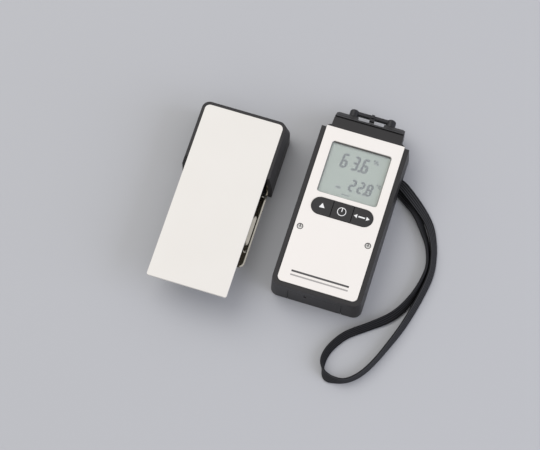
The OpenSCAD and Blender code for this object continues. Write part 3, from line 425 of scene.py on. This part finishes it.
# Which nodes each finish goes on
NODE_FINISHES = {
    case_plastic: ["rear_case", "front_case", "battery_door"],
    cover_plastic: ["cover_shell"],
    guard_plastic: ["sensor_guard"],
    key_plastic: ["key_up", "key_power", "key_mode"],
    chip_plastic: ["measuring_chip", "humidity_sensor"],
    face_white: ["face_plate"],
    shield_white: ["shield_plate"],
    clear_window: ["display_window"],
    display_green: ["display_glass"],
    connector_rubber: ["display_connectors"],
    key_rubber: ["key_sheet"],
    spring_steel: ["snap_domes", "battery_springs", "battery_contacts"],
    screw_steel: ["board_screws", "case_screws", "strap_bar", "clip_rivets"],
    face_screw_steel: ["face_screws"],
    clip_steel: ["clip_plate"],
    pin_brass: ["sensor_header"],
    sensor_ceramic: ["board_components", "thermistor"],
    circuit_board: ["main_board"],
    dark_board: ["sensor_board"],
    cell_jacket: ["battery_cells"],
    webbing: ["wrist_strap"],
}
for material, names in NODE_FINISHES.items():
    for name in names:
        NODES[name].data.materials.clear()
        NODES[name].data.materials.append(material)


# Strap: flat webbing round the bar, out of the slot and back in a loop. Each point of the route gives,
# in millimetres, the place across and along from the bar and the height above the floor, and then the
# webbing's roll in degrees. The first two and the last two heights are from the strand's height at the
# bar, which is STRAP_TURN above the bar's middle or below it. STRAP_FLAT is half the width of the flat
# faces, between the round selvedges.

STRAP_FLAT = STRAP_WIDTH / 2 - STRAP_THICKNESS * 0.25
STRAP_TURN = 1.5
STRAP_ROUTE = [
    (0, 1.7, 0, 0),
    (3.2, 1.4, -0.1, 0),
    (7.8, -1.5, 5, 0),
    (14.1, -6.1, 3.6, 8),
    (19.4, -10.5, 2.2, 24),
    (23.2, -15.1, 2.4, 34),
    (26.2, -20.8, 2.4, 44),
    (28.7, -27.5, 2.5, 54),
    (30.3, -35.9, 2.5, 58),
    (30.3, -42.6, 2.5, 58),
    (29.1, -51, 2.5, 60),
    (26.9, -61.4, 2.5, 60),
    (24.3, -71.1, 2.6, 64),
    (21, -80.3, 2.6, 70),
    (17, -90.2, 2.7, 76),
    (13.1, -97.6, 2.7, 78),
    (8.9, -102.7, 2.7, 81),
    (4.5, -105.6, 2.7, 84),
    (-0.3, -106.5, 2.6, 70),
    (-3.8, -106.1, 2.5, 56),
    (-6.5, -103.6, 2.7, 86),
    (-8, -98.7, 2.6, 116),
    (-7.2, -93.1, 2.5, 123),
    (-4.4, -87.4, 2.5, 126),
    (-0.1, -81.9, 2.5, 125),
    (8.3, -75.2, 2.4, 126),
    (15.8, -68.9, 2.2, 140),
    (20.5, -63.3, 2.3, 136),
    (24.1, -56.3, 2.5, 126),
    (26.4, -48.9, 2.7, 113),
    (27.7, -40.4, 2.7, 104),
    (27.4, -33.8, 2.6, 106),
    (24.9, -25.8, 2.6, 116),
    (20.9, -19.1, 2.4, 128),
    (16.8, -13.4, 2.3, 135),
    (12.9, -8.8, 1.9, 148),
    (8.1, -4.6, 1.3, 175),
    (3.4, -1.9, -0.3, 180),
    (0, -1.7, 0, 180),
]
# Angles from the bar's top at which the webbing passes behind it, from the lower side to the upper side
STRAP_BACK = [160, 140, 120, 100, 80, 60, 40, 20]
STRAP_STEPS = 8
RIB_STEPS = 6
RIB_DEPTH = 0.34
bar_middle = (BAR_LOW + BAR_HIGH) / 2 / MM


def smooth_curve(a, b, c, d, t):
    """The Catmull-Rom curve from b to c, on tuples of four numbers."""
    return [0.5 * (2 * q + (r - p) * t + (2 * p - 5 * q + 4 * r - s) * t * t
                   + (3 * q - p - 3 * r + s) * t ** 3)
            for p, q, r, s in zip(a, b, c, d)]


def strap_line():
    """Every ring along the route: its middle in millimetres, its direction and its roll."""
    last = len(STRAP_ROUTE) - 1
    points = []
    for k, (dx, dy, z, roll) in enumerate(STRAP_ROUTE):
        if k < 2:
            z += bar_middle.z + STRAP_TURN
        elif k > last - 2:
            z += bar_middle.z - STRAP_TURN
        points.append((bar_middle.x + dx, bar_middle.y + dy, z, roll))
    line = []
    for k in range(last):
        before, after = points[max(k - 1, 0)], points[min(k + 2, last)]
        for step in range(STRAP_STEPS):
            line.append(smooth_curve(before, points[k], points[k + 1], after, step / STRAP_STEPS))
    line.append(points[last])
    rings = []
    for k, p in enumerate(line):
        if k == 0:
            direction = Vector((1, 0, 0))
        elif k == len(line) - 1:
            direction = Vector((-1, 0, 0))
        else:
            direction = (Vector(line[k + 1][:3]) - Vector(line[k - 1][:3])).normalized()
        rings.append((Vector(p[:3]), direction, p[3]))
    return rings


def back_rings():
    """The rings behind the bar, from the lower strand to the upper one."""
    rings = []
    aside = STRAP_ROUTE[0][1]
    for angle in STRAP_BACK:
        c, s = math.cos(math.radians(angle)), math.sin(math.radians(angle))
        middle = bar_middle + Vector((-STRAP_TURN * s, aside * c, STRAP_TURN * c))
        rings.append((middle, Vector((c, 0, s)), 0 if angle < 90 else 180))
    return rings


def strap_section():
    """The webbing's outline: ribbed faces and round selvedges, as (across, up) in millimetres."""
    half = STRAP_WIDTH / 2
    thick = STRAP_THICKNESS / 2
    steps = STRAP_RIBS * RIB_STEPS
    top = []
    for k in range(steps + 1):
        x = STRAP_FLAT - 2 * STRAP_FLAT * k / steps
        dip = RIB_DEPTH * (0.5 - 0.5 * math.cos(2 * math.pi * STRAP_RIBS * k / steps))
        top.append((x, thick - dip))
    left = [(-STRAP_FLAT - (half - STRAP_FLAT) * math.sin(a), thick * math.cos(a))
            for a in map(math.radians, (36, 72, 108, 144))]
    bottom = [(-x, -y) for x, y in top]
    right = [(-x, -y) for x, y in left]
    return top + left + bottom + right


def sweep_strap():
    """Sweeps the webbing's outline along the route and behind the bar, with a map for the weave."""
    route = strap_line()
    behind = back_rings()
    half = len(behind) // 2
    rings = behind[half:] + route + behind[:half]
    section = strap_section()
    count = len(section)
    mesh = bpy.data.meshes.new("strap_webbing")
    bm = bmesh.new()
    layer = bm.loops.layers.uv.new("webbing")
    rows = []
    lengths = [0.0]
    for k, (middle, direction, roll) in enumerate(rings):
        if k:
            lengths.append(lengths[-1] + (middle - rings[k - 1][0]).length * MM)
        across = direction.cross(Vector((0, 0, 1))).normalized()
        up = across.cross(direction)
        c, s = math.cos(math.radians(roll)), math.sin(math.radians(roll))
        rows.append([bm.verts.new((middle + across * (x * c - y * s) + up * (x * s + y * c)) * MM)
                     for x, y in section])
    lengths.append(lengths[-1] + STRAP_TURN * MM / 2)
    # The strap closes on itself behind the bar, half a turn round
    rows.append(rows[0][count // 2:] + rows[0][:count // 2])
    for k in range(len(rows) - 1):
        for j in range(count):
            n = (j + 1) % count
            face = bm.faces.new((rows[k][j], rows[k][n], rows[k + 1][n], rows[k + 1][j]))
            face.smooth = True
            here, there = lengths[k], lengths[k + 1]
            corners = ((j, here), (j + 1, here), (j + 1, there), (j, there))
            start = 2 * STRAP_RIBS if section[j][1] + section[n][1] < 0 else 0
            for loop, (corner, along) in zip(face.loops, corners):
                x = section[corner % count][0]
                loop[layer].uv = (start + (x / STRAP_FLAT + 1) / 2 * STRAP_RIBS, along)
    bmesh.ops.recalc_face_normals(bm, faces=bm.faces)
    bm.to_mesh(mesh)
    bm.free()
    strap = bpy.data.objects.new("strap_webbing", mesh)
    bpy.context.scene.collection.objects.link(strap)
    mesh.materials.append(webbing)
    path = [middle * MM for middle, _, _ in route]
    length = sum((b - a).length for a, b in zip(path, path[1:]))
    return strap, [tuple(point) for point in path], length


strap, strap_path, strap_length = sweep_strap()
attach(strap, "meter")
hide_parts("wrist_strap")


# Modelling by hand

def edit(piece):
    bpy.context.view_layer.objects.active = piece
    bpy.ops.object.mode_set(mode="EDIT")


def done():
    bpy.ops.object.mode_set(mode="OBJECT")


def clear_selection():
    if bpy.context.mode != "OBJECT":
        bpy.ops.object.mode_set(mode="OBJECT")
    bpy.ops.object.select_all(action="DESELECT")


def place_in_mesh(piece):
    """Puts the object's place into its mesh, so that the object sits at the origin."""
    clear_selection()
    piece.select_set(True)
    bpy.context.view_layer.objects.active = piece
    bpy.ops.object.transform_apply(location=True, rotation=True, scale=True)


def choose(piece, rule):
    """In edit mode, selects the vertices for which the rule holds, and the edges and faces on them."""
    bm = bmesh.from_edit_mesh(piece.data)
    bpy.ops.mesh.select_mode(type="VERT")
    for part in (*bm.faces, *bm.edges, *bm.verts):
        part.select_set(False)
    for vert in bm.verts:
        if rule(vert.co):
            vert.select_set(True)
    bm.select_flush(True)
    bmesh.update_edit_mesh(piece.data)


def raised(piece, height):
    """Gives a flat face its thickness upwards."""
    edit(piece)
    bpy.ops.mesh.select_all(action="SELECT")
    bpy.ops.mesh.extrude_region_move(TRANSFORM_OT_translate={"value": (0, 0, height)})
    bpy.ops.mesh.select_all(action="SELECT")
    bpy.ops.mesh.normals_make_consistent(inside=False)
    done()
    return piece


def flat_polygon(corners, radius, centre=(0, 0, 0)):
    """A flat filled polygon whose corners lie that many metres from its centre."""
    clear_selection()
    bpy.ops.mesh.primitive_circle_add(vertices=corners, radius=radius, fill_type="NGON",
                                      location=centre)
    return bpy.context.object


def join(name, pieces, material, body):
    """Joins the pieces to one, at the origin, and gives it its finish and its body."""
    clear_selection()
    for piece in pieces:
        piece.select_set(True)
    bpy.context.view_layer.objects.active = pieces[0]
    bpy.ops.object.join()
    whole = bpy.context.view_layer.objects.active
    whole.name = whole.data.name = name
    place_in_mesh(whole)
    whole.data.materials.clear()
    whole.data.materials.append(material)
    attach(whole, body)


# Display segments

SEGMENT_HEIGHT = 0.03 * MM
SLANT = math.radians(6)


def segment(length, width):
    """One display segment along X, six-sided with pointed ends, its middle at the origin."""
    piece = flat_polygon(6, 1)
    edit(piece)
    bpy.ops.transform.resize(value=(length / 2, width / 2 / math.sin(math.radians(60)), 1))
    choose(piece, lambda co: abs(co.y) > width / 4)
    bpy.ops.transform.resize(value=((length - width) / (length / 2), 1, 1))
    done()
    return raised(piece, SEGMENT_HEIGHT)


def copy_of(piece):
    twin = piece.copy()
    twin.data = piece.data.copy()
    bpy.context.scene.collection.objects.link(twin)
    return twin


# Which of the seven segments each digit lights: top, upper left, upper right, middle, lower left,
# lower right, bottom
DIGITS = {"2": "1011101", "3": "1011011", "6": "1101111", "8": "1111111"}


def digit(figure, x, y, width, height, thick):
    """The lit segments of one digit, its lower left corner at (x, y) on the plate, in millimetres."""
    across = segment((width - thick * 0.9) * MM, thick * MM)
    upright = segment((height / 2 - thick * 0.45) * MM, thick * MM)
    upright.rotation_euler = (0, 0, math.radians(90) - SLANT)
    w, h = width - thick, height - thick
    places = [(across, w / 2, h), (upright, 0, h * 0.75), (upright, w, h * 0.75),
              (across, w / 2, h / 2), (upright, 0, h * 0.25), (upright, w, h * 0.25),
              (across, w / 2, 0)]
    lit = []
    for (shape, dx, dy), on in zip(places, DIGITS[figure]):
        if on == "1":
            twin = copy_of(shape)
            lean = math.tan(SLANT) * (dy - h / 2)
            twin.location = on_plate(x + thick / 2 + dx + lean, y + thick / 2 + dy, GLASS_Z)
            lit.append(twin)
    for shape in (across, upright):
        bpy.data.objects.remove(shape)
    return lit


def bar(x, y, length, width, turn=0.0, z=GLASS_Z, height=SEGMENT_HEIGHT, corner=0.0):
    """A flat bar with its middle at (x, y) on the plate, turned by so many degrees. It lies on the
    display glass unless z says otherwise, and corner rounds its corners."""
    clear_selection()
    bpy.ops.mesh.primitive_plane_add(size=1, location=on_plate(x, y, z),
                                     rotation=(0, 0, math.radians(turn)))
    piece = bpy.context.object
    piece.scale = (length * MM, width * MM, 1)
    place_in_mesh(piece)
    if corner:
        edit(piece)
        bpy.ops.mesh.select_all(action="SELECT")
        bpy.ops.mesh.bevel(offset=corner * MM, segments=3, affect="VERTICES")
        done()
    return raised(piece, height)


def ring(x, y, outer, inner, z=GLASS_Z, height=SEGMENT_HEIGHT, gap=0.0, sides=48):
    """A flat ring with its middle at (x, y) on the plate, open at its upper end by a gap."""
    piece = flat_polygon(sides, outer * MM, on_plate(x, y, z))
    place_in_mesh(piece)
    edit(piece)
    bpy.ops.mesh.select_all(action="SELECT")
    bpy.ops.mesh.inset(thickness=(outer - inner) * MM)
    bpy.ops.mesh.delete(type="FACE")
    if gap:
        middle = on_plate(x, y, z)
        choose(piece, lambda co: co.y > middle.y and abs(co.x - middle.x) < gap / 2 * MM)
        bpy.ops.mesh.delete(type="VERT")
    done()
    return raised(piece, height)


def triangle(x, y, width, height_mm, turn, z, height):
    """A flat triangle with its middle at (x, y). It points to the plate's upper end, or is turned from
    there by so many degrees."""
    piece = flat_polygon(3, 1, on_plate(x, y, z))
    piece.scale = (width * MM / math.sqrt(3), height_mm * MM / 1.5, 1)
    piece.rotation_euler = (0, 0, math.radians(turn))
    place_in_mesh(piece)
    return raised(piece, height)


def display_row(name, figures, places, y, width, height, thick, point):
    """A row of digits with their lower left corners at the places, and a decimal point."""
    lit = []
    for figure, x in zip(figures, places):
        lit += digit(figure, x, y, width, height, thick)
    lit.append(bar(point, y + thick / 2, thick, thick))
    join(name, lit, segment_dark, "meter")


display_row("display_humidity", "636", places=(-8.3, -2.6, 2.5), y=23.55,
            width=3.75, height=8.2, thick=1.3, point=1.75)
display_row("display_temperature", "228", places=(-0.6, 3.8, 8.15), y=12.3,
            width=3.35, height=6.9, thick=1.2, point=7.6)

# Per cent sign and degrees Celsius
per_cent = [ring(8.25, 31.8, 0.6, 0.16, sides=16), ring(9.9, 30.5, 0.6, 0.16, sides=16),
            bar(9.05, 31.2, 2.6, 0.55, 52)]
celsius = [ring(13.0, 19.6, 0.5, 0.14, sides=16), bar(14.0, 18.85, 0.55, 1.7, -6),
           bar(14.6, 19.55, 1.2, 0.52), bar(14.45, 18.1, 1.2, 0.52)]
join("display_units", per_cent + celsius, segment_dark, "meter")

# Small pale marks of the display that aren't lit
pale_marks = [bar(-5.6, 12.9, 2.6, 1.3, corner=0.3), bar(-2.3, 9.8, 1.2, 0.8),
              bar(-0.9, 9.8, 1.0, 0.8), bar(0.5, 9.8, 1.2, 0.8)]
join("display_pale_marks", pale_marks, segment_faint, "meter")


# Edge of the display window: painted shade where the plate's opening shades the lens, a dark line along
# its upper edge and thin grey lines along the others

EDGE_HEIGHT = 0.03 * MM
LINE_WIDTH = 0.4
SHADE_WIDTH = 0.75
# How far the lens goes under the plate, and how far the lines stop short of the opening's corners
LENS_MARGIN = 2.0
LINE_END = 1.0
SHADE_END = 0.7


def window_opening():
    """The face plate's opening over the display, from the plate's middle, in millimetres."""
    low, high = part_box("display_window")
    middle = Vector((PLATE_X, PLATE_Y, 0))
    margin = Vector((LENS_MARGIN, LENS_MARGIN, 0))
    return (low - middle) / MM + margin, (high - middle) / MM - margin


def window_edges():
    low, high = window_opening()
    across = (low.x + high.x) / 2
    along = (low.y + high.y) / 2
    wide, tall = high.x - low.x, high.y - low.y
    inset = LINE_WIDTH / 2
    on_lens = {"z": WINDOW_Z, "height": EDGE_HEIGHT}
    # Painted shade along the lens's sides and lower edge
    sides = [bar(low.x + inset, along, LINE_WIDTH, tall - 2 * LINE_END, **on_lens),
             bar(high.x - inset, along, LINE_WIDTH, tall - 2 * LINE_END, **on_lens),
             bar(across, low.y + inset, wide - 2 * LINE_END, LINE_WIDTH, **on_lens)]
    join("window_side_shade_lines", sides, window_side_shade, "meter")
    # Painted shadow of the plate's upper edge on the lens
    upper = bar(across, high.y - SHADE_WIDTH / 2, wide - 2 * SHADE_END, SHADE_WIDTH, **on_lens)
    join("window_upper_shade_line", [upper], window_shade, "meter")


window_edges()


# White marks on the three keys: a triangle, a ring with a bar, and a bar between two small triangles

MARK_HEIGHT = 0.03 * MM
KEY_MARK = {"z": KEY_Z, "height": MARK_HEIGHT}
up_mark = [triangle(-10.2, 0.1, 2.9, 2.6, 3, **KEY_MARK)]
join("up_mark", up_mark, print_white, "up_button")
power_mark = [ring(0.05, 0.1, 2.3, 1.95, gap=0.3, **KEY_MARK), bar(0.05, 1.2, 0.45, 2.4, **KEY_MARK)]
join("power_mark", power_mark, print_white, "power_button")
choice_mark = [triangle(7.5, 0.15, 2.1, 1.7, 90, **KEY_MARK), bar(10.45, 0.15, 3.4, 0.75, **KEY_MARK),
               triangle(13.4, 0.15, 2.1, 1.7, -90, **KEY_MARK)]
join("choice_mark", choice_mark, print_white, "mode_button")


# Face screws: painted shade, a dark ring over the gap round each head, and a dark bar for the shade in
# its slot

RIM_OUTSIDE = 0.27
RIM_INSIDE = 0.2


def screw_shade_marks():
    low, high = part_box("face_screws")
    radius = (high.y - low.y) / 2 / MM
    across = (high.x - low.x) / 2 / MM - radius
    y = ((low.y + high.y) / 2 - PLATE_Y) / MM
    marks = []
    for x in (-across, across):
        # Painted shade over the gap round the head, and in the slot
        marks.append(ring(x, y, radius + RIM_OUTSIDE, radius - RIM_INSIDE, high.z, EDGE_HEIGHT))
        marks.append(bar(x, y + 0.5, 0.6, 1.1, z=high.z, height=EDGE_HEIGHT))
    join("screw_shade_marks", marks, screw_shade, "meter")


screw_shade_marks()


# Two plain printed lines across the lower end of the face plate

PRINT_HEIGHT = 0.015 * MM
PRINT_LENGTH = 29.6
for name, ink, y, width in (("printed_line_dark", print_dark, -36.7, 1.0),
                            ("printed_line_grey", print_grey, -38.8, 0.8)):
    line = bar(0, y, PRINT_LENGTH, width, z=PLATE_Z, height=PRINT_HEIGHT)
    join(name, [line], ink, "meter")


# Floor and light

FLOOR_SIZE = 6
FLOOR_CLOUD = 0.4
FLOOR_DEEP = (0.488, 0.495, 0.513)
FLOOR_PALE = (0.498, 0.505, 0.523)
WORLD_COLOUR = (0.985, 0.98, 0.985)
WORLD_STRENGTH = 0.61


def stage_floor():
    clear_selection()
    bpy.ops.mesh.primitive_plane_add(size=FLOOR_SIZE, location=(0, 0, 0))
    floor = bpy.context.object
    floor.name = "floor"
    f = Finish("floor", Roughness=0.9, Specular_IOR_Level=0.2)
    f.put(Base_Color=f.mix(f.noise(FLOOR_CLOUD, 1), FLOOR_DEEP, FLOOR_PALE))
    floor.data.materials.append(f.material)


def soft_light(name, place, size, power, colour):
    """A square lamp of that size and power in watts, which shines at the origin."""
    data = bpy.data.lights.new(name, "AREA")
    data.shape = "SQUARE"
    data.size = size
    data.energy = power
    data.color = colour
    light = bpy.data.objects.new(name, data)
    light.location = place
    light.rotation_mode = "QUATERNION"
    light.rotation_quaternion = Vector(place).to_track_quat("Z", "Y")
    bpy.context.scene.collection.objects.link(light)


stage_floor()
soft_light("key_light", place=(-1.0, 0.45, 1.6), size=1.7, power=17.2, colour=(1.0, 0.985, 0.965))
soft_light("fill_light", place=(1.4, -0.2, 0.75), size=1.2, power=11.8, colour=(0.80, 0.83, 1.0))
world = bpy.data.worlds.new("studio")
world.use_nodes = True
sky = world.node_tree.nodes["Background"].inputs
sky["Color"].default_value = (*WORLD_COLOUR, 1)
sky["Strength"].default_value = WORLD_STRENGTH
bpy.context.scene.world = world
bpy.context.scene.view_settings.view_transform = "Standard"
